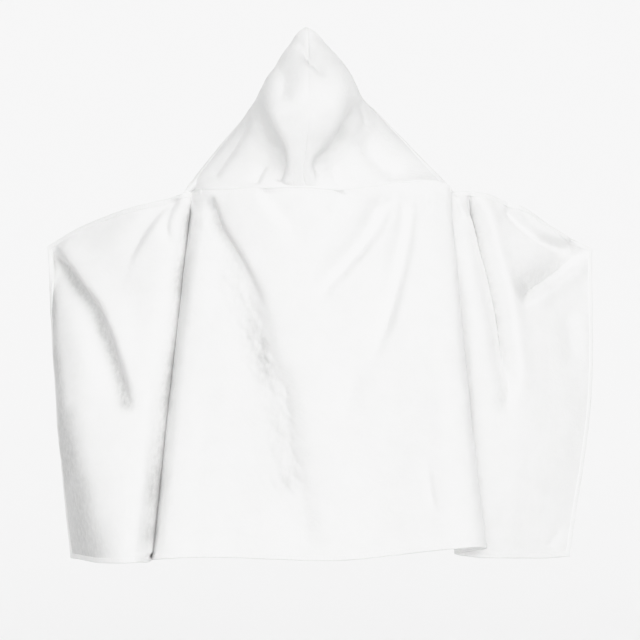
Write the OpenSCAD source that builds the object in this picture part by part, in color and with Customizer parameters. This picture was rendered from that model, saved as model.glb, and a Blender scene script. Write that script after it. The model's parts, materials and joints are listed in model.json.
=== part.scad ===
// Hooded towel, hanging as it does when worn with the hood up and the arms held out.
// The wearer's back is towards -Y, the face and chest are towards +Y, and +Z is up.
// The origin is the middle of the neck seam, at the nape of the neck.

/* [Cloth] */
// Thickness of the plush cloth
cloth_t = 4; // [3:0.5:5]
// Thickness of a turned and stitched hem
hem_t = 6; // [5:0.5:7]
// Width of the hems
hem_w = 8; // [6:1:12]
// Width of the seam allowance inside the neck seam
seam_w = 11; // [8:1:16]

/* [Body] */
// Drop of the cloth from the neck seam to the middle of the bottom hem
drop = 556; // [520:2:590]
// How far the hem of the back stands out behind the neck seam
back_bow = 20; // [0:2:30]
// How quickly the back panel reaches its fullest depth, 1 is a straight line
bow_ease = 2.2; // [1:0.1:3]

/* [Hood] */
// Height of the hood's point above the neck seam
hood_h = 250; // [220:2:260]
// Half width of the hood over the ears
head_half_w = 80; // [74:1:86]
// How far the hood stands out behind the neck seam, over the back of the head
head_back = 46; // [36:1:52]
// How far forward of the neck seam the hood's brow edge reaches
brow_reach = 150; // [140:2:160]

/* [Label] */
// Width of the care label
label_w = 30; // [20:1:40]
// Length of the care label below its stitching
label_l = 45; // [30:1:60]

/* [Hidden] */

// Clearance between solids that meet, between the cloth and each fold line, and between
// the hood's lower edge and the body
gap = 0.4;
fold_gap = 8;
seam_gap = 2;

// Fold lines that the wings turn on, as their upper and lower ends
left_fold = [[-175, 62, -4], [-239, 68, -10 - drop]];
right_fold = [[222, 53, -4], [226, 16, 4 - drop]];

// Upper edge and lower edge of each panel, in matching stations from -X to +X
back_top = [left_fold[0] + [fold_gap, -7, 1], [-150, 45, -1], [-70, 9, 0], [0, 0, 0], [95, 14, 2],
            [190, 42, 10], [210, 46, 7]];
back_low = [left_fold[1] + [fold_gap, -7, 1], [-215, 20, -4 - drop], [-100, 20 - back_bow, -drop],
            [0, -back_bow, -2 - drop], [125, -12 - back_bow, 6 - drop],
            [238, -30 - back_bow, 18 - drop], [265, -22 - back_bow, 20 - drop]];
left_top = [[-409, 170, -84], [-374, 160, -66], [-338, 146, -49], [-302, 129, -36],
            [-263, 107, -25], [-223, 85, -15], left_fold[0] + [-fold_gap, 3, -1]];
left_low = [[-366, 118, -14 - drop], [-344, 86, -11 - drop], [-322, 52, -10 - drop],
            [-298, 16, -9 - drop], [-272, -10, -7 - drop], [-256, 22, -8 - drop],
            left_fold[1] + [-fold_gap / 2, -7, 0]];
right_top = [right_fold[0] + [fold_gap, 3, -1], [265, 73, -9], [302, 91, -16], [340, 110, -32],
             [376, 126, -53], [413, 141, -76], [448, 152, -87]];
right_low = [right_fold[1] + [fold_gap, -1, -1], [262, 12, 0 - drop], [292, 27, -4 - drop],
             [320, 47, -7 - drop], [348, 67, -9 - drop], [376, 86, -10 - drop],
             [405, 105, -9 - drop]];

// The hood's left front corner lies a little further forward and lower than the right one
left_forward = 4;
left_lower = 9;

// Right half of the hood, in rows from the neck seam up to the crown seam. Each row runs
// from the centre back to the face opening.
hood_rows = [
    [[0, 0, 0], [70, 8, 1], [145, 30, 8], [212, 48, 8]],
    [[0, -14, 56], [38, 10, 50], [112, 32, 58], [166, 70, 56]],
    [[0, -head_back, 120], [62, 26 - head_back, 118], [head_half_w, 35, 118],
     [12 + head_half_w, 90, 108]],
    [[0, -18, 192], [40, 8, 186], [54, 62, 174], [66, 112, 152]],
    [[0.6, 58, hood_h], [0.6, 88, hood_h - 14], [0.6, 120, hood_h - 42],
     [0.6, brow_reach, hood_h - 82]]];

// Catmull-Rom curve through a list of points, at u from 0 to 1
function at(p, i) = i < 0 ? 2 * p[0] - p[1]
    : i >= len(p) ? 2 * p[len(p) - 1] - p[len(p) - 2] : p[i];
function quad(a, b, c, d, t) =
    0.5 * (2 * b + (c - a) * t + (2 * a - 5 * b + 4 * c - d) * t * t
           + (3 * b - a - 3 * c + d) * t * t * t);
function curve(p, u) =
    let (s = min(max(u, 0), 1) * (len(p) - 1), i = min(floor(s), len(p) - 2))
    quad(at(p, i - 1), at(p, i), at(p, i + 1), at(p, i + 2), s - i);

// A panel hangs between its upper and lower edges: u runs across it and v down it
function hang(top, low, u, v, ease = 1) =
    let (a = curve(top, u), b = curve(low, u), d = 1 - pow(1 - v, ease))
    [a[0] + (b[0] - a[0]) * v, a[1] + (b[1] - a[1]) * d, a[2] + (b[2] - a[2]) * v];

back = function (u, v) hang(back_top, back_low, u, v, bow_ease);
left = function (u, v) hang(left_top, left_low, u, v);
right = function (u, v) hang(right_top, right_low, u, v);

// The hood's right half, and its mirror image: s runs from the back to the face and t up
function hood_point(s, t) = curve([for (row = hood_rows) curve(row, s)], t);
right_half = function (s, t) hood_point(s, t) + [gap, 0, seam_gap] * (1 - t);
left_half = function (s, t)
    let (p = hood_point(1 - s, t), up = 1 - t, out = 1 - s)
    [-p[0] - gap * up, p[1] + left_forward * up * out,
     p[2] + seam_gap * up - left_lower * pow(up * out, 2)];

// Outward normal of a surface, on the side away from the wearer
function normal(f, u, v, side) =
    let (e = 0.002,
         a = f(min(u + e, 1), v) - f(max(u - e, 0), v),
         b = f(u, min(v + e, 1)) - f(u, max(v - e, 0)),
         n = cross(a, b))
    side * n / norm(n);

// A closed sheet over u0..u1 and v0..v1 of a surface, from depth lo to depth hi outwards
module sheet(f, side, u0, u1, v0, v1, nu, nv, lo, hi) {
    grid = [for (j = [0:nv]) for (i = [0:nu])
            [u0 + (u1 - u0) * i / nu, v0 + (v1 - v0) * j / nv]];
    inner = [for (g = grid) f(g[0], g[1]) + lo * normal(f, g[0], g[1], side)];
    outer = [for (g = grid) f(g[0], g[1]) + hi * normal(f, g[0], g[1], side)];
    w = nu + 1;
    m = len(grid);
    faces = [
        for (j = [0:nv - 1]) for (i = [0:nu - 1]) let (a = j * w + i)
            each [[a, a + 1, a + w + 1], [a, a + w + 1, a + w],
                  [m + a, m + a + w + 1, m + a + 1], [m + a, m + a + w, m + a + w + 1]],
        for (i = [0:nu - 1]) let (a = i, b = nv * w + i)
            each [[a, m + a + 1, a + 1], [a, m + a, m + a + 1],
                  [b, b + 1, m + b + 1], [b, m + b + 1, m + b]],
        for (j = [0:nv - 1]) let (a = j * w, b = j * w + nu)
            each [[a, a + w, m + a + w], [a, m + a + w, m + a],
                  [b, m + b + w, b + w], [b, m + b, m + b + w]]];
    polyhedron(concat(inner, outer),
               side > 0 ? faces : [for (q = faces) [q[0], q[2], q[1]]]);
}

// Length of a wing from its fold line to its side edge, and of a hood half round the head
wing_run = 240;
hood_run = 225;

// Shares of a surface that the hems and the clearances take, down it and across it
hem_v = hem_w / drop;
gap_v = gap / drop;
hem_u = hem_w / wing_run;
gap_u = gap / wing_run;
hem_s = hem_w / hood_run;
gap_s = gap / hood_run;

// Depths of a hem, which is a little thicker than the cloth on both sides
hem_lo = (cloth_t - hem_t) / 2;
hem_hi = (cloth_t + hem_t) / 2;

// The hood stops just clear of the neck seam and of its own crown seam
hood_t0 = 0.004;
hood_t1 = 0.985;

// Seam allowance of the hood: it stands inwards from the centre back and the crown, and
// a little deeper at the point, where the two halves are close together
allow_t = 2.4;
allow_in = 5;
allow_w = 8;
tip_in = 7;
tip_u = 0.7;
function seam_line(u) =
    u < tip_u ? hood_point(0, max(0.05, u / tip_u)) : hood_point((u - tip_u) / (1 - tip_u), 1);
function seam_point(u, v) =
    let (a = seam_line(max(u - 0.01, 0)), b = seam_line(min(u + 0.01, 1)), d = b - a,
         inward = [0, d[2], -d[1]] / norm([0, d[2], d[1]]),
         depth = allow_in + tip_in * exp(-pow((u - tip_u) / 0.05, 2)))
    [0, seam_line(u)[1], seam_line(u)[2]] + (depth + v * allow_w) * inward;
allowance = function (u, v) seam_point(u, v);

// The label hangs from the inside of the neck seam, at the nape
label_t = 0.8;
label_y = 5.2;
label_z = -3;

module back_panel() {
    color("whitesmoke")
        sheet(back, -1, 0, 1, 0, 1 - hem_v - gap_v, 24, 10, 0, cloth_t);
}

module left_wing() {
    color("white")
        sheet(left, -1, hem_u + gap_u, 1, hem_v + gap_v, 1 - hem_v - gap_v, 14, 8, 0, cloth_t);
}

module right_wing() {
    color("white")
        sheet(right, -1, 0, 1 - hem_u - gap_u, hem_v + gap_v, 1 - hem_v - gap_v, 14, 8,
              0, cloth_t);
}

module hood_left() {
    color("snow")
        sheet(left_half, 1, hem_s + gap_s, 1, hood_t0, hood_t1, 12, 12, 0, cloth_t);
}

module hood_right() {
    color("snow")
        sheet(right_half, 1, 0, 1 - hem_s - gap_s, hood_t0, hood_t1, 12, 12, 0, cloth_t);
}

module hood_seam() {
    color("gainsboro")
        sheet(allowance, 1, 0.06, 0.92, 0, 1, 20, 1, -allow_t / 2, allow_t / 2);
}

module hood_left_hem() {
    color("ghostwhite")
        sheet(left_half, 1, 0, hem_s, hood_t0, hood_t1, 1, 12, hem_lo, hem_hi);
}

module hood_right_hem() {
    color("ghostwhite")
        sheet(right_half, 1, 1 - hem_s, 1, hood_t0, hood_t1, 1, 12, hem_lo, hem_hi);
}

module neck_seam() {
    color("gainsboro")
        sheet(back, -1, 0.01, 0.99, 0.004, seam_w / drop, 24, 1, -cloth_t, -gap);
}

module back_hem() {
    color("ghostwhite") sheet(back, -1, 0, 1, 1 - hem_v, 1, 24, 1, hem_lo, hem_hi);
}

module left_wing_hem() {
    color("ghostwhite") sheet(left, -1, 0, 1, 1 - hem_v, 1, 14, 1, hem_lo, hem_hi);
}

module right_wing_hem() {
    color("ghostwhite") sheet(right, -1, 0, 1, 1 - hem_v, 1, 14, 1, hem_lo, hem_hi);
}

module left_side_hem() {
    color("ghostwhite")
        sheet(left, -1, 0, hem_u, 0, 1 - hem_v - gap_v, 1, 10, hem_lo, hem_hi);
}

module right_side_hem() {
    color("ghostwhite")
        sheet(right, -1, 1 - hem_u, 1, 0, 1 - hem_v - gap_v, 1, 10, hem_lo, hem_hi);
}

module left_top_hem() {
    color("ghostwhite")
        sheet(left, -1, hem_u + gap_u, 1, 0, hem_v, 14, 1, hem_lo, hem_hi);
}

module right_top_hem() {
    color("ghostwhite")
        sheet(right, -1, 0, 1 - hem_u - gap_u, 0, hem_v, 14, 1, hem_lo, hem_hi);
}

module care_label() {
    color("lightgray")
        translate([-label_w / 2, label_y, label_z - label_l])
            cube([label_w, label_t, label_l]);
}

back_panel();
left_wing();
right_wing();
hood_left();
hood_right();
hood_seam();
hood_left_hem();
hood_right_hem();
neck_seam();
back_hem();
left_wing_hem();
right_wing_hem();
left_side_hem();
right_side_hem();
left_top_hem();
right_top_hem();
care_label();
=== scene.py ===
"""Hooded towel: the cloth, hems, seams and stitching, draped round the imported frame."""
import json
import math

import bmesh
import bpy
import numpy as np
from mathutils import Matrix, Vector

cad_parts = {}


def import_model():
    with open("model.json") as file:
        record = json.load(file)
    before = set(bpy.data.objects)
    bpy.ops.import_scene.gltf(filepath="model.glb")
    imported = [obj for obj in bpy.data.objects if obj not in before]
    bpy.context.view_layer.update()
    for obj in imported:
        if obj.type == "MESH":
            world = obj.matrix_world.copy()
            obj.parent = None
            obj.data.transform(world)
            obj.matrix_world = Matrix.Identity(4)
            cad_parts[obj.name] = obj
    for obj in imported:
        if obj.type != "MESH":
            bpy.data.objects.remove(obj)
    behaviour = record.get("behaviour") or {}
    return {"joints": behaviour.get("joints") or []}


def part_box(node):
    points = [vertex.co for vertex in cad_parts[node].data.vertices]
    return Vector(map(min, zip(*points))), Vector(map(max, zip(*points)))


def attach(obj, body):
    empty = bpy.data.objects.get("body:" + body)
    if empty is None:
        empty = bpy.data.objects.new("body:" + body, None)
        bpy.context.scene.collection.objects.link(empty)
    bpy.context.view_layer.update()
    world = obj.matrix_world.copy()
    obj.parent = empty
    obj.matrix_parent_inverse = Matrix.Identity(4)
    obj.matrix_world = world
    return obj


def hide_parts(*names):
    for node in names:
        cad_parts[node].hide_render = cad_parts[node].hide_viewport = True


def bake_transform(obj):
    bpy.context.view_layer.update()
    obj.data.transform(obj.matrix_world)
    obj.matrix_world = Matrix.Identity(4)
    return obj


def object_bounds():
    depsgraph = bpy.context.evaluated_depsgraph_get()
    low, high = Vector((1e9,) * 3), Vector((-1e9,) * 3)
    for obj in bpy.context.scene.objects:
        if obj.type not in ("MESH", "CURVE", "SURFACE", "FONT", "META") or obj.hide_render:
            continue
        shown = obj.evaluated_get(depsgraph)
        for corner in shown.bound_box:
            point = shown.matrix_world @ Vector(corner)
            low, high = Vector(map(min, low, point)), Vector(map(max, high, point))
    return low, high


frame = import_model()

CAD_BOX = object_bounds()
MM = 0.001
JOINTS = {j["name"]: j for j in frame["joints"]}

# Half the thickness of the cloth
CLOTH = 2.0 * MM
# Shares of the drop that each station of the body cloth is given at
LEVELS = (0.0, 0.5, 1.0)


# ---------------------------------------------------------------- curves and noise
def spline(knots, values, at):
    """Smooth curve through values at knots, sampled at the numbers in at."""
    knots = np.asarray(knots, float)
    values = np.asarray(values, float)
    at = np.clip(np.asarray(at, float), knots[0], knots[-1])
    step = np.diff(knots)
    slope = np.diff(values, axis=0) / step.reshape((-1,) + (1,) * (values.ndim - 1))
    tangent = np.empty_like(values)
    tangent[0] = slope[0]
    tangent[-1] = slope[-1]
    w = (step[1:] / (step[1:] + step[:-1])).reshape((-1,) + (1,) * (values.ndim - 1))
    tangent[1:-1] = w * slope[:-1] + (1 - w) * slope[1:]
    i = np.clip(np.searchsorted(knots, at, side="right") - 1, 0, len(knots) - 2)
    h = step[i]
    t = ((at - knots[i]) / h).reshape((-1,) + (1,) * (values.ndim - 1))
    h = h.reshape(t.shape)
    # a and c weigh the two values, b and d the two tangents
    a = (1 + 2 * t) * (1 - t) ** 2
    b = t * (1 - t) ** 2
    c = t * t * (3 - 2 * t)
    d = t * t * (t - 1)
    return a * values[i] + b * h * tangent[i] + c * values[i + 1] + d * h * tangent[i + 1]


def smooth(t):
    """Ease from 0 to 1 while t goes from 0 to 1."""
    t = np.clip(t, 0, 1)
    return t * t * (3 - 2 * t)


def noise(x, y, seed):
    """Smooth random field between -1 and 1 with features about one unit wide."""
    size = 256
    table = np.random.default_rng(seed).uniform(-1, 1, (size, size))
    i = np.floor(x).astype(int)
    j = np.floor(y).astype(int)
    a = smooth(x - i)
    b = smooth(y - j)
    i0 = i % size
    i1 = (i + 1) % size
    j0 = j % size
    j1 = (j + 1) % size
    low = table[i0, j0] * (1 - a) + table[i1, j0] * a
    high = table[i0, j1] * (1 - a) + table[i1, j1] * a
    return low * (1 - b) + high * b


# ---------------------------------------------------------------- lines of the frame
def hinge_line(name, z):
    """Point of a joint's axis at height z."""
    pos = np.array(JOINTS[name]["pos_m"], float)
    axis = np.array(JOINTS[name]["axis"], float)
    return pos + axis * (z - pos[2]) / axis[2]


# Height of the back's hem, below the nape
HEM_Z = -0.556
LEFT_FOLD = np.array([hinge_line("left_wrap", HEM_Z * v) for v in LEVELS])
RIGHT_FOLD = np.array([hinge_line("right_wrap", HEM_Z * v) for v in LEVELS])


def stations(rows, base, sign=1):
    """Points of each row's station at the top, at mid height and at the hem.

    A row gives (out, forward) in mm from a line at the three levels, and the height in mm of
    its top and of its hem."""
    points = []
    for top, mid, low, z_top, z_low in rows:
        p = np.array(base, float)
        for k, (out, fwd) in enumerate((top, mid, low)):
            p[k, 0] += sign * out * MM
            p[k, 1] += fwd * MM
        p[0, 2] = z_top * MM
        p[2, 2] = z_low * MM
        p[1, 2] = (p[0, 2] + p[2, 2]) / 2
        points.append(p)
    return points


# Folds of the left side, outwards and forwards from the left fold line, from the edge in
LEFT_ROWS = [
    ((234, 108), (185, 83), (127, 50), -83, -570),
    ((208, 96), (171, 24), (103, 0), -69, -567),
    ((175, 76), (140, -6), (77, -46), -53, -566),
    ((129, 46), (97, -20), (50, -72), -36, -564),
    ((86, 20), (59, -28), (28, -80), -24, -563),
    ((42, 0), (28, -32), (13, -70), -14, -563),
    ((11, -9), (7, -21), (4, -42), -6, -566),
    ((0, 8), (0, 12), (0, 4), -4, -567)]
# Folds of the back, across and forwards from the nape, from the left fold to the overlap
BACK_ROWS = [
    ((-168, 52), (-201, 52), (-232, 44), -2, -564),
    ((-157, 38), (-192, 30), (-220, 14), -1, -560),
    ((-115, 20), (-139, 14), (-165, 0), -1, -556),
    ((-71, 7), (-87, 4), (-102, -6), 0, -556),
    ((-35, 2), (-42, -9), (-51, -14), 0, -557),
    ((0, 0), (-3, -16), (-3, -20), 0, -558),
    ((48, 4), (54, -20), (60, -26), -3, -557),
    ((96, 14), (113, -25), (125, -32), 2, -550),
    ((145, 28), (172, -34), (188, -46), 9, -541),
    ((188, 36), (207, -37), (226, -51), 11, -537),
    ((210, 42), (230, -25), (254, -41), 7, -536),
    ((218, 48), (238, -4), (267, -17), 3, -541),
    ((219, 51), (227, 15), (241, 5), -1, -547)]
# Folds of the right side, outwards and forwards from the right fold line, outwards
RIGHT_ROWS = [
    ((0, 0), (0, 0), (0, 0), -4, -552),
    ((28, 6), (30, -11), (26, -10), -3, -556),
    ((77, 30), (88, 4), (67, 4), -14, -559),
    ((125, 56), (143, 34), (104, 30), -36, -562),
    ((168, 76), (185, 64), (141, 56), -62, -565),
    ((226, 99), (218, 92), (179, 82), -87, -565)]

NAPE = np.zeros((len(LEVELS), 3))
STATIONS = np.array(stations(LEFT_ROWS, LEFT_FOLD, -1) + stations(BACK_ROWS, NAPE)
                    + stations(RIGHT_ROWS, RIGHT_FOLD))


def distance_along(line):
    """Length of a line of points from its start to each point."""
    return np.concatenate([[0], np.cumsum(np.linalg.norm(np.diff(line, axis=0), axis=1))])


# Place of each station across the cloth, measured at mid height
ACROSS = distance_along(STATIONS[:, 1])


def body_sheet(across, down):
    """Middle surface of the body cloth on a grid: across in metres at mid height, down 0 to 1."""
    by_height = spline(LEVELS, STATIONS.transpose(1, 0, 2), down)
    return spline(ACROSS, by_height.transpose(1, 0, 2), across)


def normals(p):
    """Unit normals of a grid of points, towards the outside of the cloth."""
    du = np.gradient(p, axis=0)
    dv = np.gradient(p, axis=1)
    n = np.cross(dv, du)
    return n / np.linalg.norm(n, axis=2, keepdims=True)


# ---------------------------------------------------------------- folds pressed into a sheet
# Points that a fold's path is measured at
PATH_POINTS = 41
# Middle of a fold's lip, and how far its outer slope runs, in widths of the fold's crisp side
LIP_PLACE = 1.8
LIP_SLOPE = 2.4


def path_distance(x, z, path):
    """Signed distance from points to a smooth path, positive on its left, and the place along it."""
    path = np.array(path, float) * MM
    knots = distance_along(path)
    share = np.linspace(0, 1, PATH_POINTS)
    line = spline(knots / knots[-1], path, share)
    best = np.full(x.shape, np.inf)
    signed = np.zeros(x.shape)
    along = np.zeros(x.shape)
    for k in range(len(line) - 1):
        p = line[k]
        d = line[k + 1] - p
        t = np.clip(((x - p[0]) * d[0] + (z - p[1]) * d[1]) / (d @ d), 0, 1)
        dx = x - p[0] - t * d[0]
        dz = z - p[1] - t * d[1]
        r = np.hypot(dx, dz)
        near = r < best
        best = np.where(near, r, best)
        side = np.sign(d[0] * dz - d[1] * dx)
        signed = np.where(near, r * side, signed)
        along = np.where(near, share[k] + t * (share[k + 1] - share[k]), along)
    return signed, along


def fold(x, z, path, depth, soft, crisp, lip=0.35, fade=(0.25, 0.3), top_depth=None):
    """Height of one fold: a groove along the path, with a soft side on the path's left, a
    crisp side on its right and a rounded lip beyond the crisp side.

    Sizes are in millimetres. depth is at the path's start and top_depth at its end, fade gives
    the shares of the path over which its two ends die away, and lip is a share of the depth."""
    signed, along = path_distance(x, z, path)
    signed = signed / MM
    amount = smooth(along / fade[0]) * smooth((1 - along) / fade[1])
    groove = np.exp(-(signed / np.where(signed > 0, soft, crisp)) ** 2)
    past = signed + LIP_PLACE * crisp
    ridge = np.exp(-(past / np.where(past > 0, crisp, LIP_SLOPE * crisp)) ** 2)
    deep = depth + ((top_depth or depth) - depth) * along
    return (lip * ridge - groove) * amount * deep * MM


# Paths of the main folds, as seen from behind: (x, z) in mm from the nape
CREASE = [(-238, -556), (-206, -278), (-192, -150), (-180, -50), (-175, -4)]
SLANT = [(3, -552), (-9, -470), (-24, -394), (-38, -305), (-62, -252), (-76, -200), (-91, -154),
         (-117, -87), (-136, -42), (-146, -6)]
HAND_TUCK = [(-262, -345), (-283, -286), (-307, -223), (-326, -183), (-355, -148), (-384, -111),
             (-405, -88)]
SHOULDER = [(297, -348), (312, -298), (306, -234), (296, -160), (279, -93), (266, -45), (247, -6)]
RIGHT_FAN = [(323, -175), (360, -148), (388, -130), (412, -112), (436, -90)]
# The left side's free edge and its bottom corner, which get bands of painted shade too
SIDE_EDGE = [(-358, -480), (-369, -400), (-381, -320), (-393, -230), (-402, -150), (-408, -70)]
BOTTOM_CORNER = [(-333, -578), (-346, -515), (-362, -450), (-374, -390), (-384, -320)]

BODY_FOLDS = [
    # the crease between the back and the left side, filled to a narrow line and then hollowed
    dict(path=CREASE, depth=-8.5, top_depth=-4, soft=9, crisp=9, lip=0, fade=(0.01, 0.01)),
    dict(path=CREASE, depth=4.5, top_depth=2.5, soft=20, crisp=13, lip=0, fade=(0.01, 0.1)),
    # the deep tuck that falls from the left hand
    dict(path=HAND_TUCK, depth=27, top_depth=26, soft=26, crisp=10, lip=0.3, fade=(0.35, 0.08)),
    # slack that fans out from the nape over the left side
    dict(path=[(-285, -146), (-266, -92), (-246, -59), (-223, -31), (-196, -9)], depth=6, soft=16,
         crisp=8, fade=(0.5, 0.1)),
    dict(path=[(-205, -92), (-214, -54), (-202, -24), (-193, -8)], depth=5, soft=8, crisp=6,
         fade=(0.4, 0.1)),
    # the long slanting fold of the back's left half
    dict(path=SLANT, depth=6, top_depth=9, soft=44, crisp=20, lip=0.3, fade=(0.05, 0.05)),
    dict(path=[(-60, -195), (-73, -160), (-97, -112), (-123, -72), (-137, -42), (-147, -8)],
         depth=8, top_depth=14, soft=15, crisp=5.5, lip=0.3, fade=(0.5, 0.1)),
    # small drag lines below the nape
    dict(path=[(-62, 2), (-61, -14), (-47, -34), (-28, -52), (-16, -92), (-18, -110)], depth=6,
         soft=22, crisp=7, fade=(0.1, 0.6)),
    dict(path=[(21, -57), (43, -37), (58, -4)], depth=5, soft=16, crisp=10, fade=(0.4, 0.1)),
    # drapes of the back's right half
    dict(path=[(6, -185), (32, -146), (66, -108), (103, -60), (130, -4)], depth=20, soft=20,
         crisp=10, lip=0.3, fade=(0.4, 0.15)),
    dict(path=[(84, -290), (108, -232), (127, -176), (142, -117), (153, -57), (159, -2)], depth=16,
         soft=18, crisp=10, lip=0.3, fade=(0.5, 0.1)),
    dict(path=[(40, -360), (66, -300), (96, -240)], depth=7, soft=22, crisp=18, fade=(0.4, 0.5)),
    dict(path=[(177, -42), (184, -4)], depth=4, soft=7, crisp=5, fade=(0.4, 0.1)),
    dict(path=[(192, -492), (183, -440), (178, -402)], depth=2, soft=7, crisp=5, fade=(0.3, 0.4)),
    # the right side: from the shoulder and from the right hand
    dict(path=SHOULDER, depth=20, soft=26, crisp=7, lip=0.3, fade=(0.3, 0.1)),
    dict(path=SHOULDER, depth=6, top_depth=7.5, soft=5, crisp=4.5, lip=0, fade=(0.4, 0.03)),
    dict(path=RIGHT_FAN, depth=18, soft=30, crisp=7, lip=0.3, fade=(0.3, 0.06)),
    dict(path=RIGHT_FAN, depth=6, soft=6, crisp=4.5, lip=0, fade=(0.35, 0.1)),
    dict(path=[(239, -51), (235, -25), (225, -4)], depth=4, soft=6, crisp=5, fade=(0.4, 0.1)),
    dict(path=[(422, -88), (390, -81), (364, -73), (336, -53), (318, -37), (302, -21)], depth=9,
         soft=9, crisp=6, lip=0.9, fade=(0.15, 0.15)),
    dict(path=[(425, -285), (410, -230), (405, -170)], depth=4, soft=20, crisp=14),
    dict(path=[(371, -549), (392, -518)], depth=2, soft=9, crisp=7, fade=(0.1, 0.5)),
]


def moved(path, x, z=0):
    """A path moved by x and z, in mm."""
    return [(px + x, pz + z) for px, pz in path]


# Bands of painted shade beside the folds and along the edges, with wrinkles in them: path, reach
# to its left and to its right in mm, height of the wrinkles in mm, and how dark the painted shade is
SHADE_BANDS = [
    (SLANT[1:], 32, 13, 2.0, 0.5),
    (CREASE, 17, 13, 0.4, 1.0),
    (HAND_TUCK, 15, 8, 0.4, 1.15),
    (moved(SHOULDER, -10), 15, 11, 0, 0.36),
    (moved(RIGHT_FAN, -4, 5), 22, 8, 0, 0.35),
    (SIDE_EDGE, 30, 13, 0.4, 1.1),
    (BOTTOM_CORNER, 40, 34, 0.7, 1.0)]
# Size of the patches in the painted shade and of its wrinkles, in metres across and down
PATCHES = (0.03, 0.045)
WRINKLES = (0.008, 0.017)
SMALL_WRINKLES = (0.005, 0.007)
# How much the patches vary and their most, how far the wrinkles lean over, and how much a
# band narrows to its end
PATCH_STRENGTH = 0.45
PATCH_MOST = 1.4
WRINKLE_LEAN = 0.35
BAND_TAPER = 0.4
# Shares of a band over which its two ends die away
BAND_FADE = (0.08, 0.12)
# Layers of the pile's relief: size in metres across and down, and height in mm
PILE = [(0.034, 0.041, 0.55), (0.013, 0.015, 0.22), (0.0062, 0.0066, 0.12)]


def press(mid, folds):
    """Add a list of folds to a grid of points, towards the outside of the cloth."""
    height = np.zeros(mid.shape[:2])
    for f in folds:
        height += fold(mid[..., 0], mid[..., 2], **f)
    return mid + normals(mid) * height[..., None]


def pile(a, b, seed):
    """Height of the soft, crushed surface of plush cloth, from places on the cloth in metres."""
    layers = [noise(a / wide, b / tall, seed + k) * height
              for k, (wide, tall, height) in enumerate(PILE)]
    return sum(layers) * MM


def painted_shade(x, z):
    """Height of the wrinkles beside the long folds, and how dark the painted shade is there, 0 to 1.
    """
    patchy = 1 + PATCH_STRENGTH * noise(x / PATCHES[0], z / PATCHES[1], 71)
    patchy = np.minimum(patchy, PATCH_MOST)
    wrinkle = noise((x + WRINKLE_LEAN * z) / WRINKLES[0], z / WRINKLES[1], 72)
    wrinkle = wrinkle + 0.5 * noise(x / SMALL_WRINKLES[0], z / SMALL_WRINKLES[1], 73)
    height = np.zeros(x.shape)
    painted_dark = np.zeros(x.shape)
    for path, left, right, amount, shade_strength in SHADE_BANDS:
        signed, along = path_distance(x, z, path)
        reach = np.where(signed > 0, left, right) * (1 - BAND_TAPER * along) * MM
        band = np.exp(-(signed / reach) ** 2) * patchy
        band = band * smooth(along / BAND_FADE[0]) * smooth((1 - along) / BAND_FADE[1])
        height += band * amount * MM
        # painted shade: each band darkens the cloth's colour beside a fold or along an edge, where
        # shade falls
        painted_dark = np.maximum(painted_dark, band * shade_strength)
    return height * wrinkle, np.clip(painted_dark, 0, 1)


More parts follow.
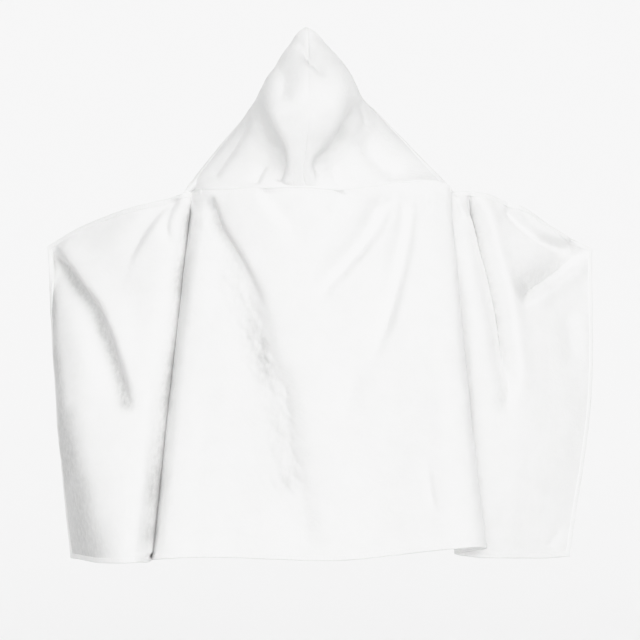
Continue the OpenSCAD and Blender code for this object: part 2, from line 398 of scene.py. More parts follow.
# ---------------------------------------------------------------- hood surface
# Columns of the hood from the left face edge round the back to the right face edge, as
# (x, y, z) in mm from the nape, in rows from the neck seam up to the crown seam
HOOD_SIDE = (-1, -0.84, -0.68, -0.52, -0.4, -0.2, 0, 0.2, 0.4, 0.52, 0.68, 0.84, 1)
HOOD_UP = (0, 0.13, 0.25, 0.38, 0.51, 0.65, 0.8, 0.91, 0.97, 1)
HOOD_ROWS = [
    # the neck seam
    [(-186, 62, -4), (-158, 50, -1), (-112, 28, 1), (-62, 12, 1), (-40, 7, 1), (-22, 3, 1),
     (0, 0, 0), (12, 1, -1), (24, 3, -1), (44, 6, 0), (92, 14, 2), (150, 35, 9), (212, 48, 8)],
    # the neck, with the flaps spread over the shoulders
    [(-163, 80, 28), (-142, 57, 28), (-97, 34, 27), (-50, 22, 26), (-35, 12, 25), (-22, -7, 25),
     (-5, -10, 25), (11, -8, 25), (21, 9, 25), (33, 18, 26), (80, 26, 27), (136, 45, 28),
     (194, 70, 30)],
    [(-136, 88, 64), (-114, 62, 62), (-84, 42, 60), (-53, 32, 58), (-38, 14, 57), (-24, -18, 56),
     (0, -24, 56), (22, -19, 56), (37, 13, 57), (49, 28, 58), (84, 38, 60), (122, 57, 62),
     (160, 83, 66)],
    # the back of the head
    [(-114, 94, 92), (-99, 68, 92), (-82, 44, 92), (-66, 26, 92), (-57, 4, 91), (-37, -30, 90),
     (3, -39, 90), (42, -31, 90), (61, 2, 91), (71, 24, 92), (89, 44, 92), (110, 66, 92),
     (134, 91, 93)],
    [(-90, 106, 123), (-86, 86, 124), (-80, 62, 126), (-74, 36, 128), (-66, 6, 129),
     (-43, -35, 129), (4, -45, 129), (49, -36, 129), (72, 4, 129), (81, 33, 127), (89, 56, 126),
     (97, 78, 125), (105, 99, 124)],
    [(-66, 126, 148), (-67, 106, 152), (-66, 84, 156), (-64, 60, 160), (-59, 24, 164),
     (-38, -13, 168), (4, -23, 170), (46, -14, 168), (69, 22, 165), (74, 56, 160), (75, 82, 156),
     (74, 104, 152), (70, 124, 149)],
    # the empty point above the head
    [(-40, 141, 158), (-43, 122, 168), (-45, 102, 178), (-45, 82, 187), (-41, 58, 196),
     (-24, 31, 203), (4, 22, 206), (32, 31, 203), (50, 56, 196), (54, 80, 187), (53, 100, 178),
     (49, 120, 168), (44, 138, 159)],
    [(-22, 147, 160), (-25, 130, 178), (-28, 112, 193), (-28, 94, 206), (-26, 76, 218),
     (-16, 56, 228), (3, 46, 232), (19, 56, 228), (31, 74, 218), (33, 92, 206), (32, 110, 193),
     (28, 128, 178), (24, 145, 161)],
    [(-9, 150, 161), (-11, 132, 183), (-13, 114, 200), (-14, 96, 215), (-14, 78, 229),
     (-9, 60, 240), (2, 54, 243), (11, 60, 240), (16, 77, 229), (16, 95, 215), (15, 113, 200),
     (13, 131, 183), (10, 149, 161)],
    # the seam over the crown
    [(-0.5, 151, 161), (-0.5, 134, 185), (-0.5, 116, 204), (-0.5, 99, 219), (-0.5, 82, 233),
     (-0.5, 67, 244), (0, 61, 247), (0.5, 67, 244), (0.5, 82, 233), (0.5, 99, 219),
     (0.5, 116, 204), (0.5, 134, 185), (0.5, 151, 161)]]


# The two ends, in x, of the stretch of the body's upper edge that the hood is sewn to
NECK_ENDS = (-0.2, 0.2115)
# Points that the edge is measured at
NECK_POINTS = 600
# Share of the hood's height over which its lowest part is drawn onto that edge
NECK_PULL = 0.1


def neck_line(x):
    """Points of the body cloth's upper edge at given x, where the hood is sewn on."""
    top = spline(ACROSS, STATIONS[:, 0], np.linspace(0, ACROSS[-1], NECK_POINTS))
    line = top[(top[:, 0] > NECK_ENDS[0]) & (top[:, 0] < NECK_ENDS[1])]
    line = line[np.argsort(line[:, 0])]
    y = np.interp(x, line[:, 0], line[:, 1])
    z = np.interp(x, line[:, 0], line[:, 2])
    return np.stack([x, y, z], axis=-1)


def hood_sheet(side, up):
    """Middle surface of the hood on a grid: side from -1 to 1 round it, up from 0 to 1."""
    rows = np.array(HOOD_ROWS, float) * MM
    rows[0] = neck_line(rows[0][:, 0])
    by_height = spline(HOOD_UP, rows, up)
    grid = spline(HOOD_SIDE, by_height.transpose(1, 0, 2), side)
    lowest = spline(HOOD_SIDE, rows[0], side)
    near = np.clip(1 - np.asarray(up) / NECK_PULL, 0, 1)[None, :, None] ** 2
    return grid + (neck_line(lowest[:, 0]) - lowest)[:, None] * near


HOOD_FOLDS = [
    # where the cloth leaves the head, on both sides of the neck
    dict(path=[(-42, 6), (-33, 42), (-38, 60), (-54, 90), (-65, 117), (-67, 150)], depth=8, soft=9,
         crisp=5, fade=(0.05, 0.4)),
    dict(path=[(21, 8), (18, 33), (42, 57), (65, 95), (76, 137)], depth=12, soft=8, crisp=5,
         lip=0.2, fade=(0.2, 0.3)),
    # creases that run down from the point
    dict(path=[(28, 156), (17, 179), (3, 195), (-5, 213), (-7, 230)], depth=8, soft=8, crisp=11,
         lip=0.1, fade=(0.3, 0.3)),
    dict(path=[(-56, 110), (-38, 140), (-35, 168), (-41, 200)], depth=10, soft=14, crisp=22,
         lip=0.2, fade=(0.4, 0.35)),
    dict(path=[(9, 97), (18, 120), (36, 142)], depth=2.5, soft=10, crisp=7),
    # slack in the flaps that lie on the shoulders
    dict(path=[(-145, 14), (-129, 38), (-108, 69), (-93, 100), (-86, 127)], depth=4, soft=13,
         crisp=9, lip=0.3, fade=(0.1, 0.2)),
    dict(path=[(156, 19), (120, 33), (94, 60), (82, 79)], depth=7, soft=15, crisp=12, lip=0.15,
         fade=(0.3, 0.3)),
    dict(path=[(90, 91), (84, 114), (79, 140)], depth=3, soft=6, crisp=5, lip=0.1),
    # pleats caught in the neck seam
    dict(path=[(-76, 3), (-67, 24), (-57, 39)], depth=4, soft=8, crisp=5, fade=(0.05, 0.4)),
    dict(path=[(48, 3), (42, 24), (38, 39)], depth=4, soft=7, crisp=5, fade=(0.05, 0.4)),
]


# ---------------------------------------------------------------- materials
# Whites of the cloth: laid nap, raised nap, and painted shade at its darkest and lightest
LAID_NAP = (0.912, 0.912, 0.908)
RAISED_NAP = (0.94, 0.94, 0.937)
PAINTED_SHADE_WHITES = ((0.65, 0.65, 0.645), (0.77, 0.77, 0.765))
PRESSED_NAP = (0.905, 0.905, 0.9)


def shader(name, colour, roughness, sheen=0.0):
    """A new material with one Principled shader, its node tree and that shader."""
    mat = bpy.data.materials.new(name)
    mat.use_nodes = True
    bsdf = mat.node_tree.nodes["Principled BSDF"]
    bsdf.inputs["Base Color"].default_value = (*colour, 1)
    bsdf.inputs["Roughness"].default_value = roughness
    bsdf.inputs["Sheen Weight"].default_value = sheen
    bsdf.inputs["Sheen Roughness"].default_value = 0.5
    return mat, mat.node_tree, bsdf


def place_on_cloth(tree, stretch=(1, 1, 1)):
    """Places on the cloth in metres, stretched by a factor each way."""
    uv = tree.nodes.new("ShaderNodeUVMap")
    uv.uv_map = "places"
    mapping = tree.nodes.new("ShaderNodeMapping")
    mapping.inputs["Scale"].default_value = stretch
    tree.links.new(uv.outputs["UV"], mapping.inputs["Vector"])
    return mapping.outputs["Vector"]


def noise_node(tree, vector, scale, detail, roughness=0.55):
    """Height of a noise texture, with scale features to the metre."""
    node = tree.nodes.new("ShaderNodeTexNoise")
    node.noise_dimensions = "2D"
    node.inputs["Scale"].default_value = scale
    node.inputs["Detail"].default_value = detail
    node.inputs["Roughness"].default_value = roughness
    tree.links.new(vector, node.inputs["Vector"])
    return node.outputs["Fac"]


def bump_node(tree, height, strength, distance, under=None):
    """Normal of a bump map, on top of another one where under is given."""
    node = tree.nodes.new("ShaderNodeBump")
    node.inputs["Strength"].default_value = strength
    node.inputs["Distance"].default_value = distance
    tree.links.new(height, node.inputs["Height"])
    if under:
        tree.links.new(under, node.inputs["Normal"])
    return node.outputs["Normal"]


def ramp_node(tree, value, stops):
    """Colour between two stops, each a place on the ramp and its colour."""
    node = tree.nodes.new("ShaderNodeValToRGB")
    for element, (at, colour) in zip(node.color_ramp.elements, stops):
        element.position = at
        element.color = (*colour, 1)
    tree.links.new(value, node.inputs["Fac"])
    return node.outputs["Color"]


def mix_node(tree, share, first, second):
    """Mix of two colours, by the share of the second."""
    node = tree.nodes.new("ShaderNodeMix")
    node.data_type = "RGBA"
    tree.links.new(share, node.inputs["Factor"])
    tree.links.new(first, node.inputs["A"])
    tree.links.new(second, node.inputs["B"])
    return node.outputs["Result"]


def plush_material():
    """White velour: a short nap, brushed this way and that, with painted shade mixed into its colour
    beside the folds and along the edges.
    """
    mat, tree, bsdf = shader("white_plush", (0.93, 0.93, 0.925), 0.92, 0.25)
    place = place_on_cloth(tree)
    patches = noise_node(tree, place, 26, 5, 0.62)
    tufts = noise_node(tree, place, 210, 3)
    nap = noise_node(tree, place_on_cloth(tree, (1, 0.6, 1)), 900, 2, 0.6)
    white = ramp_node(tree, patches, ((0.3, LAID_NAP), (0.7, RAISED_NAP)))
    shade_mottle = noise_node(tree, place_on_cloth(tree, (1, 0.5, 1)), 180, 4, 0.65)
    shade_mottle = ramp_node(tree, shade_mottle, ((0.3, PAINTED_SHADE_WHITES[0]), (0.7, PAINTED_SHADE_WHITES[1])))
    # painted shade: the mesh attribute read here mixes darker, mottled whites into the colour
    layer = tree.nodes.new("ShaderNodeAttribute")
    layer.attribute_name = "painted_shade"
    white = mix_node(tree, layer.outputs["Fac"], white, shade_mottle)
    dry = ramp_node(tree, tufts, ((0.3, (0.98, 0.98, 0.98)), (0.7, (0.86, 0.86, 0.86))))
    tree.links.new(white, bsdf.inputs["Base Color"])
    tree.links.new(dry, bsdf.inputs["Roughness"])
    normal = bump_node(tree, patches, 0.5, 1.6 * MM)
    normal = bump_node(tree, tufts, 0.45, 0.8 * MM, normal)
    normal = bump_node(tree, nap, 0.5, 0.35 * MM, normal)
    tree.links.new(normal, bsdf.inputs["Normal"])
    return mat


def hem_material():
    """The same cloth pressed flat by its stitching, with the nap lying across the hem."""
    mat, tree, bsdf = shader("pressed_hem", (0.93, 0.93, 0.925), 0.9, 0.2)
    ribs = noise_node(tree, place_on_cloth(tree, (1, 0.22, 1)), 620, 2)
    tufts = noise_node(tree, place_on_cloth(tree), 160, 3)
    white = ramp_node(tree, ribs, ((0.3, PRESSED_NAP), (0.7, RAISED_NAP)))
    tree.links.new(white, bsdf.inputs["Base Color"])
    normal = bump_node(tree, tufts, 0.5, 0.9 * MM)
    normal = bump_node(tree, ribs, 0.55, 0.45 * MM, normal)
    tree.links.new(normal, bsdf.inputs["Normal"])
    return mat


def overlock_material():
    """Edge of a seam allowance, wrapped in slanting overlock threads."""
    mat, tree, bsdf = shader("overlocked_edge", (0.92, 0.92, 0.915), 0.8, 0.15)
    wave = tree.nodes.new("ShaderNodeTexWave")
    wave.inputs["Scale"].default_value = 150
    wave.inputs["Distortion"].default_value = 1.2
    wave.inputs["Detail"].default_value = 1
    tree.links.new(place_on_cloth(tree, (1, 0.35, 1)), wave.inputs["Vector"])
    white = ramp_node(tree, wave.outputs["Fac"], ((0.2, (0.86, 0.86, 0.855)),
                                                 (0.8, (0.94, 0.94, 0.935))))
    tree.links.new(white, bsdf.inputs["Base Color"])
    tree.links.new(bump_node(tree, wave.outputs["Fac"], 0.6, 0.5 * MM), bsdf.inputs["Normal"])
    return mat


def satin_material():
    """Woven satin of the care label, with its fine ribs across."""
    mat, tree, bsdf = shader("label_satin", (0.9, 0.9, 0.91), 0.42)
    wave = tree.nodes.new("ShaderNodeTexWave")
    wave.bands_direction = "Y"
    wave.inputs["Scale"].default_value = 420
    wave.inputs["Distortion"].default_value = 0.3
    tree.links.new(place_on_cloth(tree), wave.inputs["Vector"])
    tint = ramp_node(tree, wave.outputs["Fac"], ((0.1, (0.87, 0.87, 0.885)),
                                                (0.9, (0.93, 0.93, 0.935))))
    tree.links.new(tint, bsdf.inputs["Base Color"])
    tree.links.new(bump_node(tree, wave.outputs["Fac"], 0.35, 0.12 * MM), bsdf.inputs["Normal"])
    return mat


def thread_material():
    """Two-ply white sewing thread with a visible twist."""
    mat, tree, bsdf = shader("white_thread", (0.95, 0.95, 0.945), 0.55)
    wave = tree.nodes.new("ShaderNodeTexWave")
    wave.bands_direction = "DIAGONAL"
    wave.inputs["Scale"].default_value = 500
    tree.links.new(place_on_cloth(tree), wave.inputs["Vector"])
    white = ramp_node(tree, wave.outputs["Fac"], ((0.2, (0.88, 0.88, 0.875)),
                                                 (0.8, (0.96, 0.96, 0.955))))
    tree.links.new(white, bsdf.inputs["Base Color"])
    tree.links.new(bump_node(tree, wave.outputs["Fac"], 0.5, 0.12 * MM), bsdf.inputs["Normal"])
    return mat


PLUSH = plush_material()
PRESSED = hem_material()
OVERLOCK = overlock_material()
SATIN = satin_material()
THREAD = thread_material()


# ---------------------------------------------------------------- meshes
def new_piece(name, verts, faces, places, material, sharp=60):
    """A smooth mesh piece whose vertices know their place on the cloth, in metres.

    Edges that turn by more than sharp degrees stay crisp."""
    mesh = bpy.data.meshes.new(name)
    mesh.from_pydata([tuple(v) for v in verts], [], faces)
    mesh.update()
    obj = bpy.data.objects.new(name, mesh)
    bpy.context.scene.collection.objects.link(obj)
    bm = bmesh.new()
    bm.from_mesh(mesh)
    bmesh.ops.recalc_face_normals(bm, faces=bm.faces)
    bm.to_mesh(mesh)
    bm.free()
    corner = np.empty(len(mesh.loops), int)
    mesh.loops.foreach_get("vertex_index", corner)
    layer = mesh.uv_layers.new(name="places")
    layer.data.foreach_set("uv", np.asarray(places, float)[corner].ravel())
    mesh.materials.append(material)
    mesh.shade_smooth()
    mesh.set_sharp_from_angle(angle=math.radians(sharp))
    return obj


def cloth_mesh(name, mid, n, places, material, half=CLOTH, painted_dark=None):
    """Closed sheet round a middle surface: an outer face, an inner face and a rim.

    The last argument gives how much painted shade darkens the outer face's colour, from 0 to 1."""
    nu, nv = mid.shape[:2]
    outer = (mid + n * half).reshape(-1, 3)
    inner = (mid - n * half).reshape(-1, 3)
    m = nu * nv
    faces = []
    for i in range(nu - 1):
        for j in range(nv - 1):
            a = i * nv + j
            b = a + 1
            c = a + nv + 1
            d = a + nv
            faces.append((a, b, c, d))
            faces.append((m + d, m + c, m + b, m + a))
    ring = ([i * nv for i in range(nu - 1)] + [(nu - 1) * nv + j for j in range(nv - 1)]
            + [i * nv + nv - 1 for i in range(nu - 1, 0, -1)] + list(range(nv - 1, 0, -1)))
    faces += [(a, b, m + b, m + a) for a, b in zip(ring, ring[1:] + ring[:1])]
    flat = places.reshape(-1, 2)
    piece = new_piece(name, np.concatenate([outer, inner]), faces, np.concatenate([flat, flat]),
                      material)
    # painted shade stored on the outer face, for the material to darken its colour
    if painted_dark is not None:
        layer = piece.data.attributes.new("painted_shade", "FLOAT", "POINT")
        layer.data.foreach_set("value", np.concatenate([painted_dark.ravel(), np.zeros(m)]))
    return piece


def swept(name, line, right, up, section, material):
    """Closed tube of a section, given in millimetres along right and up, swept along a line."""
    k = len(section)
    verts = [p + r * a * MM + u * b * MM for p, r, u in zip(line, right, up) for a, b in section]
    faces = []
    for i in range(len(line) - 1):
        for j in range(k):
            a = i * k + j
            b = i * k + (j + 1) % k
            faces.append((a, b, b + k, a + k))
    last = (len(line) - 1) * k
    faces.append(tuple(range(k - 1, -1, -1)))
    faces.append(tuple(last + j for j in range(k)))
    around = distance_along(np.array(section + section[:1], float) * MM)[:k]
    places = [(along, a) for along in distance_along(line) for a in around]
    return new_piece(name, verts, faces, places, material, 70)


def both_sides(half):
    """Closed section from its upper half, given as (across, up)."""
    return half + [(a, -b) for a, b in reversed(half) if b > 0]


# Sections in millimetres: a rolled hem pressed in at its stitching, a sewn-down allowance and
# the narrow ridge of a seam
HEM_SECTION = both_sides([(-0.3, 0.0), (0.1, 1.9), (0.9, 3.0), (2.4, 3.1), (4.6, 3.0), (5.8, 2.55),
                          (6.8, 2.85), (7.6, 2.65), (8.0, 1.9)])
ALLOWANCE_SECTION = both_sides([(0, 0.0), (0.4, 1.1), (2.5, 1.4), (7.0, 1.4), (8.6, 1.1), (9.0, 0)])
RIDGE_SECTION = [(-2.4, -1.0), (-1.6, 0.5), (0, 1.0), (1.6, 0.5), (2.4, -1.0), (0, -1.6)]
# Distance of a hem's stitching from the cloth's edge and from its middle surface
STITCH_IN = 5.8 * MM
STITCH_UP = 2.6 * MM
# Rings of one stitch: place along it in lengths, then size and lift in radii
STITCH_RINGS = ((-0.5, 0.35, -0.5), (-0.3, 1, 0), (0.3, 1, 0), (0.5, 0.35, -0.5))
STITCH_SIDES = 6


class Edge:
    """One edge of a grid of cloth: its line, the direction into the cloth, and its normals."""

    def __init__(self, mid, n, side):
        # the direction into the cloth is measured to the third row in
        cut = {"low_u": (mid[0], mid[2], n[0]), "high_u": (mid[-1], mid[-3], n[-1]),
               "low_v": (mid[:, 0], mid[:, 2], n[:, 0]),
               "high_v": (mid[:, -1], mid[:, -3], n[:, -1])}
        self.line, within, self.up = cut[side]
        inward = within - self.line
        self.inward = inward / np.linalg.norm(inward, axis=1, keepdims=True)

    def hem(self, name):
        """Rolled hem along the edge."""
        return swept(name, self.line, self.inward, self.up, HEM_SECTION, PRESSED)

    def seams(self, inset=STITCH_IN, high=STITCH_UP):
        """Lines of stitching on both faces, each with its outward direction."""
        line = self.line + self.inward * inset
        return [(line + self.up * high, self.up), (line - self.up * high, -self.up)]


def one_stitch(centre, along, up, length, radius):
    """Points of one stitch: a short bar, thin where it dives into the cloth."""
    side = np.cross(along, up)
    points = []
    for step, size, lift in STITCH_RINGS:
        ring = centre + along * length * step + up * lift * radius
        for k in range(STITCH_SIDES):
            a = math.tau * k / STITCH_SIDES
            points.append(ring + (side * math.cos(a) + up * math.sin(a)) * radius * size)
    return points


def stitch_faces(base):
    """Faces of one stitch whose points start at base."""
    k = STITCH_SIDES
    last = base + k * (len(STITCH_RINGS) - 1)
    faces = []
    for ring in range(base, last, k):
        for i in range(k):
            a = ring + i
            b = ring + (i + 1) % k
            faces.append((a, b, b + k, a + k))
    faces.append(tuple(base + i for i in range(k - 1, -1, -1)))
    faces.append(tuple(last + i for i in range(k)))
    return faces


def along_line(at, line, where):
    """Values of a line's points at other distances along it."""
    return np.stack([np.interp(where, at, line[:, k]) for k in range(3)], axis=1)


def stitching(name, seams, pitch=3.4 * MM, length=2.7 * MM, radius=0.42 * MM):
    """Lock stitches in even steps along several lines, in one piece."""
    verts = []
    faces = []
    places = []
    for line, ups in seams:
        at = distance_along(line)
        middles = np.arange(pitch, at[-1] - pitch, pitch)
        centre = along_line(at, line, middles)
        ahead = along_line(at, line, middles + pitch / 2)
        up = along_line(at, ups, middles)
        for c, a, u in zip(centre, ahead - centre, up):
            faces += stitch_faces(len(verts))
            verts += one_stitch(c, a / np.linalg.norm(a), u / np.linalg.norm(u), length, radius)
            # the thread's twist runs along each stitch and round it
            places += [(c[0] + 0.6 * MM * ring, c[2] + 0.2 * MM * k)
                       for ring in range(len(STITCH_RINGS)) for k in range(STITCH_SIDES)]
    return new_piece(name, verts, faces, places, THREAD, 80)


def blend_side(pieces):
    """Bakes each piece's transform into its mesh."""
    for piece in pieces:
        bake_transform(piece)


def blend_left(pieces):
    """Bakes the transforms of the left side's pieces into their meshes."""
    blend_side(pieces)


def blend_right(pieces):
    """Bakes the transforms of the right side's pieces into their meshes."""
    blend_side(pieces)


def blend_hood(pieces):
    """Bakes the transforms of the hood's pieces into their meshes."""
    for piece in pieces:
        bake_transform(piece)


def ride_back(pieces):
    """Pieces that stay with the back."""
    for piece in pieces:
        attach(piece, "back")


# ---------------------------------------------------------------- body cloth
# Places across the cloth where its three parts meet: the back's second and last but one rows
SPLIT_L = ACROSS[len(LEFT_ROWS) + 1]
SPLIT_R = ACROSS[len(LEFT_ROWS) + len(BACK_ROWS) - 2]
# Length of the cloth from the neck to the hem, and the size of its mesh
BODY_LENGTH = 0.565
PITCH = 2.8 * MM
# Width in metres of the band along the side edges where the folds die away, and the share of
# the drop, below the top edge, where the nap's relief dies away
HELD = 0.02
SEWN = 0.02


def body_grid():
    """Grid of the whole body cloth: its places across, its middle surface with the folds, the
    places on the cloth, and how dark the painted shade is."""
    across = np.linspace(0, ACROSS[-1], int(ACROSS[-1] / PITCH))
    down = np.linspace(0, 1, int(BODY_LENGTH / PITCH))
    base = body_sheet(across, down)
    held = smooth(across / HELD) * smooth((across[-1] - across) / HELD)
    mid = base + (press(base, BODY_FOLDS) - base) * held[:, None, None]
    a, b = np.meshgrid(across, down * BODY_LENGTH, indexing="ij")
    # wrinkle heights, and the painted shade beside the folds and along the edges
    wrinkles, painted_dark = painted_shade(mid[..., 0], mid[..., 2])
    relief = pile(a, b, 11) + wrinkles
    mid = mid + normals(mid) * (relief * smooth(down / SEWN))[..., None]
    return across, mid, np.stack([a, b], axis=2), painted_dark


def build_part(side, body, part, mid, n, places, painted_dark, move):
    """One part of the body cloth between two fold lines, with its hems and stitching."""
    mid = mid[part]
    n = n[part]
    places = places[part]
    cloth = cloth_mesh(side + "_cloth", mid, n, places, PLUSH, painted_dark=painted_dark[part])
    hems = {"low": ("high_v", body + "_hem")}
    if side != "back":
        hems["side"] = ("low_u" if side == "left" else "high_u", side + "_side_hem")
        hems["top"] = ("low_v", side + "_top_hem")
    strips = []
    seams = []
    for place, (edge, node) in hems.items():
        edge = Edge(mid, n, edge)
        strips.append(edge.hem(side + "_hem_" + place))
        seams += edge.seams()
        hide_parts(node)
    stitches = stitching(side + "_hem_stitches", seams)
    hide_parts("back_panel" if side == "back" else body)
    move([cloth, stitches] + strips)


# The neck seam, in mm: how far its pieces run past the CAD seam at the right, half the
# thickness of its allowance, how far below the edge its stitching is, and how far out
NECK_PAST = 4
TAPE_HALF = 1.4
NECK_STITCH_DOWN = 4.5
NECK_STITCH_OUT = 0.1


def build_neck(mid, n):
    """Seam that joins the hood: a ridge outside, an overlocked allowance inside, stitching."""
    top = Edge(mid, n, "low_v")
    lo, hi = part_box("neck_seam")
    keep = (top.line[:, 0] > lo[0]) & (top.line[:, 0] < hi[0] + NECK_PAST * MM)
    line = top.line[keep]
    inward = top.inward[keep]
    up = top.up[keep]
    ridge = swept("neck_ridge", line + up * CLOTH, inward, up, RIDGE_SECTION, PLUSH)
    tape = swept("neck_allowance", line - up * (CLOTH + TAPE_HALF * MM), inward, up,
                 ALLOWANCE_SECTION, OVERLOCK)
    below = line + inward * NECK_STITCH_DOWN * MM
    stitches = stitching("neck_stitches", [(below + up * (CLOTH + NECK_STITCH_OUT * MM), up)])
    ride_back([ridge, tape, stitches])
    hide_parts("neck_seam")


def build_body():
    """The body cloth in its three parts, and the neck seam along its top edge."""
    across, mid, places, painted_dark = body_grid()
    n = normals(mid)
    i_l = int(np.argmin(abs(across - SPLIT_L)))
    i_r = int(np.argmin(abs(across - SPLIT_R)))
    build_neck(mid, n)
    build_part("left", "left_wing", slice(0, i_l + 1), mid, n, places, painted_dark, blend_left)
    build_part("back", "back", slice(i_l, i_r + 1), mid, n, places, painted_dark, ride_back)
    build_part("right", "right_wing", slice(i_r, len(across)), mid, n, places, painted_dark,
               blend_right)


# ---------------------------------------------------------------- hood
# Flat size of one half in metres, across and up
HOOD_FLAT = (0.24, 0.30)
# Points of the hood's mesh round it and up it
HOOD_MESH = (221, 121)
# The face edge rolls forward: the share of the way out where the roll starts, and its depth in
# mm. In shares of the height, ROLL_LOW is where it starts and how far it grows over, and
# ROLL_HIGH is where it ends and how far it dies away over.
ROLL_FROM = 0.9
ROLL_DEPTH = 14
ROLL_LOW = (0.05, 0.22)
ROLL_HIGH = (0.8, 0.3)
# Share of the height over which the folds die away above the neck seam
HOOD_SEWN = 0.05
# Depth and half width in mm of the groove that the crown seam pulls in down the middle
SEAM_GROOVE = (1.3, 3.0)
# Rows of the mesh along the crown seam that have an allowance, clear of the hood's point and of
# the neck, and the columns each way that the direction across the seam is measured over
SEAM_ROWS = slice(3, -2)
SEAM_REACH = 2


def hood_grid():
    """Middle surface of the hood with its folds, from the crown down to the neck seam, and the
    places on the cloth."""
    side = np.linspace(-1, 1, HOOD_MESH[0])
    up = np.linspace(1, 0, HOOD_MESH[1])
    base = hood_sheet(side, up)
    rolled = np.clip((np.abs(side) - ROLL_FROM) / (1 - ROLL_FROM), 0, 1)[:, None] ** 2
    height = smooth((up - ROLL_LOW[0]) / ROLL_LOW[1]) * smooth((ROLL_HIGH[0] - up) / ROLL_HIGH[1])
    base[..., 1] += rolled * height[None] * ROLL_DEPTH * MM
    sewn = smooth(up / HOOD_SEWN)[None, :, None]
    mid = base + (press(base, HOOD_FOLDS) - base) * sewn
    a, b = np.meshgrid(side * HOOD_FLAT[0], up * HOOD_FLAT[1], indexing="ij")
    groove = SEAM_GROOVE[0] * MM * np.exp(-(a / (SEAM_GROOVE[1] * MM)) ** 2)
    mid = mid + normals(mid) * ((pile(a, b, 41) - groove)[..., None] * sewn)
    return mid, np.stack([a, b], axis=2)


def build_hood_half(side, part, mid, n, places, edge):
    """Half of the hood with the hem round the face opening."""
    name = "hood_" + side
    cloth = cloth_mesh(name + "_cloth", mid[part], n[part], places[part], PLUSH)
    face = Edge(mid[part], n[part], edge)
    hem = face.hem(name + "_face_hem")
    stitches = stitching(name + "_face_stitches", face.seams())
    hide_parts(name)
    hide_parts(name + "_hem")
    blend_hood([cloth, hem, stitches])


def build_hood():
    """The hood's two halves and the allowance of the seam that joins them."""
    mid, places = hood_grid()
    n = normals(mid)
    c = len(mid) // 2
    build_hood_half("left", slice(0, c + 1), mid, n, places, "low_u")
    build_hood_half("right", slice(c, len(mid)), mid, n, places, "high_u")
    across = mid[c + SEAM_REACH, SEAM_ROWS] - mid[c - SEAM_REACH, SEAM_ROWS]
    across = across / np.linalg.norm(across, axis=1, keepdims=True)
    out = n[c, SEAM_ROWS]
    line = mid[c, SEAM_ROWS] - out * CLOTH
    seam = swept("hood_allowance", line, -out, across, ALLOWANCE_SECTION, OVERLOCK)
    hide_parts("hood_seam")
    blend_hood([seam])


# ---------------------------------------------------------------- care label
# How far the label's end curls away, how deep it waves, and the size of the waves, in mm
LABEL_CURL = 1.6
LABEL_WAVE = 0.5
WAVE_SIZE = 5
# Half the thickness of the label, and the points of its mesh across and down
LABEL_HALF = 0.3 * MM
LABEL_MESH = (25, 33)


def build_label():
    """Blank satin label, sewn into the neck seam and hanging inside."""
    lo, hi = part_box("care_label")
    x = np.linspace(lo[0], hi[0], LABEL_MESH[0])
    z = np.linspace(hi[2], lo[2], LABEL_MESH[1])
    gx, gz = np.meshgrid(x, z, indexing="ij")
    t = (hi[2] - gz) / (hi[2] - lo[2])
    curl = LABEL_CURL * MM * t ** 2 + LABEL_WAVE * MM * np.sin(gx / (WAVE_SIZE * MM)) * t
    mid = np.stack([gx, (lo[1] + hi[1]) / 2 + curl, gz], axis=2)
    label = cloth_mesh("blank_label", mid, normals(mid), np.stack([gx, gz], axis=2), SATIN,
                       LABEL_HALF)
    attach(label, "label")
    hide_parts("care_label")


# ---------------------------------------------------------------- stage, light and camera
# The backdrop in metres: how far the floor lies below the cloth, half the width, the near edge
# of the floor, the centre and radius of the curve up to the wall, and the top of the wall
FLOOR_DROP = 0.9
STAGE_HALF = 16
CURVE_Y = 2.2
CURVE_RADIUS = 1.4
WALL_TOP = 9
CURVE_TURNS = [math.radians(a) for a in range(0, 91, 6)]


def backdrop_material():
    """Pale matt paper, see-through from behind so that it never hides the inside."""
    mat, tree, bsdf = shader("pale_backdrop", (0.885, 0.885, 0.885), 1)
    open_back = tree.nodes.new("ShaderNodeMixShader")
    facing = tree.nodes.new("ShaderNodeNewGeometry")
    clear = tree.nodes.new("ShaderNodeBsdfTransparent")
    tree.links.new(facing.outputs["Backfacing"], open_back.inputs[0])
    tree.links.new(bsdf.outputs[0], open_back.inputs[1])
    tree.links.new(clear.outputs[0], open_back.inputs[2])
    tree.links.new(open_back.outputs[0], tree.nodes["Material Output"].inputs["Surface"])
    return mat


def backdrop():
    """Floor that curves up into a wall behind the cloth."""
    floor_z = CAD_BOX[0][2] - FLOOR_DROP
    curve = [(CURVE_Y + CURVE_RADIUS * math.sin(t), floor_z + CURVE_RADIUS * (1 - math.cos(t)))
             for t in CURVE_TURNS]
    profile = [(-STAGE_HALF, floor_z)] + curve + [(CURVE_Y + CURVE_RADIUS, WALL_TOP)]
    verts = [(x, y, z) for y, z in profile for x in (-STAGE_HALF, STAGE_HALF)]
    faces = [(2 * k, 2 * k + 1, 2 * k + 3, 2 * k + 2) for k in range(len(profile) - 1)]
    mesh = bpy.data.meshes.new("backdrop")
    mesh.from_pydata(verts, [], faces)
    obj = bpy.data.objects.new("backdrop", mesh)
    bpy.context.scene.collection.objects.link(obj)
    mesh.materials.append(backdrop_material())
    mesh.shade_smooth()


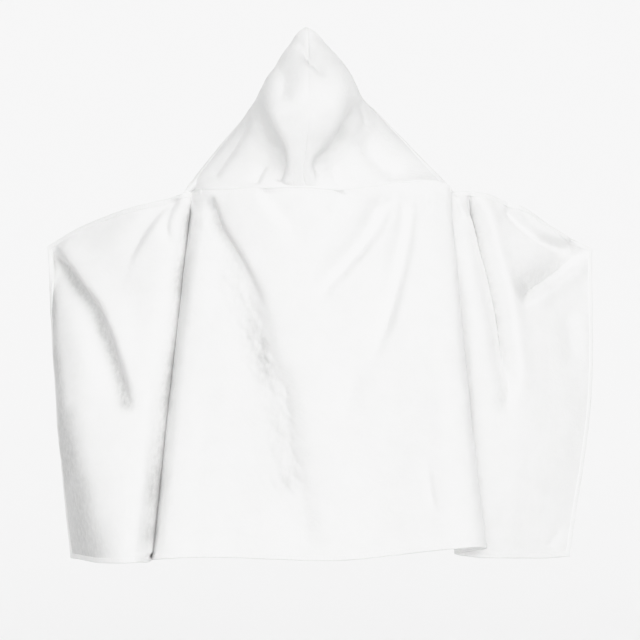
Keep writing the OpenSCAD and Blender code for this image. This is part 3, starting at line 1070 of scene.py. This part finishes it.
def soft_sun(name, direction, strength, softness):
    """Even, soft light that travels along direction."""
    light = bpy.data.lights.new(name, "SUN")
    light.energy = strength
    light.angle = math.radians(softness)
    obj = bpy.data.objects.new(name, light)
    obj.rotation_euler = Vector(direction).to_track_quat("-Z", "Y").to_euler()
    bpy.context.scene.collection.objects.link(obj)


def camera(place, lens):
    """Camera that looks level along +Y, at the wearer's back."""
    data = bpy.data.cameras.new("camera")
    data.lens = lens
    data.sensor_width = 36
    obj = bpy.data.objects.new("camera", data)
    obj.location = place
    obj.rotation_euler = (math.radians(90), 0, 0)
    bpy.context.scene.collection.objects.link(obj)
    bpy.context.scene.camera = obj


def world(glow, grey):
    """White glow for the light, and plain grey where the camera sees past the stage."""
    studio = bpy.data.worlds.new("studio")
    bpy.context.scene.world = studio
    studio.use_nodes = True
    nodes = studio.node_tree.nodes
    links = studio.node_tree.links
    nodes["Background"].inputs["Color"].default_value = (1, 1, 1, 1)
    nodes["Background"].inputs["Strength"].default_value = glow
    pale = nodes.new("ShaderNodeBackground")
    pale.inputs["Color"].default_value = (grey, grey, grey, 1)
    seen = nodes.new("ShaderNodeMixShader")
    rays = nodes.new("ShaderNodeLightPath")
    links.new(rays.outputs["Is Camera Ray"], seen.inputs[0])
    links.new(nodes["Background"].outputs[0], seen.inputs[1])
    links.new(pale.outputs[0], seen.inputs[2])
    links.new(seen.outputs[0], nodes["World Output"].inputs["Surface"])


def bright_shoulder(top, bends):
    """Plain transform with a soft shoulder up to top, so that white cloth keeps its folds."""
    view = bpy.context.scene.view_settings
    view.view_transform = "Standard"
    view.use_curve_mapping = True
    curve = view.curve_mapping.curves[3]
    curve.points[0].location = (0, 0)
    curve.points[1].location = (1.0, top)
    for x, y in bends:
        curve.points.new(x, y)
    view.curve_mapping.extend = "HORIZONTAL"
    view.curve_mapping.update()


build_body()
build_hood()
build_label()
backdrop()
world(0.03, 0.5)
soft_sun("key", (-0.09, 1.0, -0.2), 3.55, 110)
soft_sun("back_fill", (0.35, -1.0, -0.5), 1.3, 50)
camera((0.021, -3.2, -0.1995), 120)
bright_shoulder(0.94, ((0.6, 0.65), (0.8, 0.865), (0.9, 0.922)))
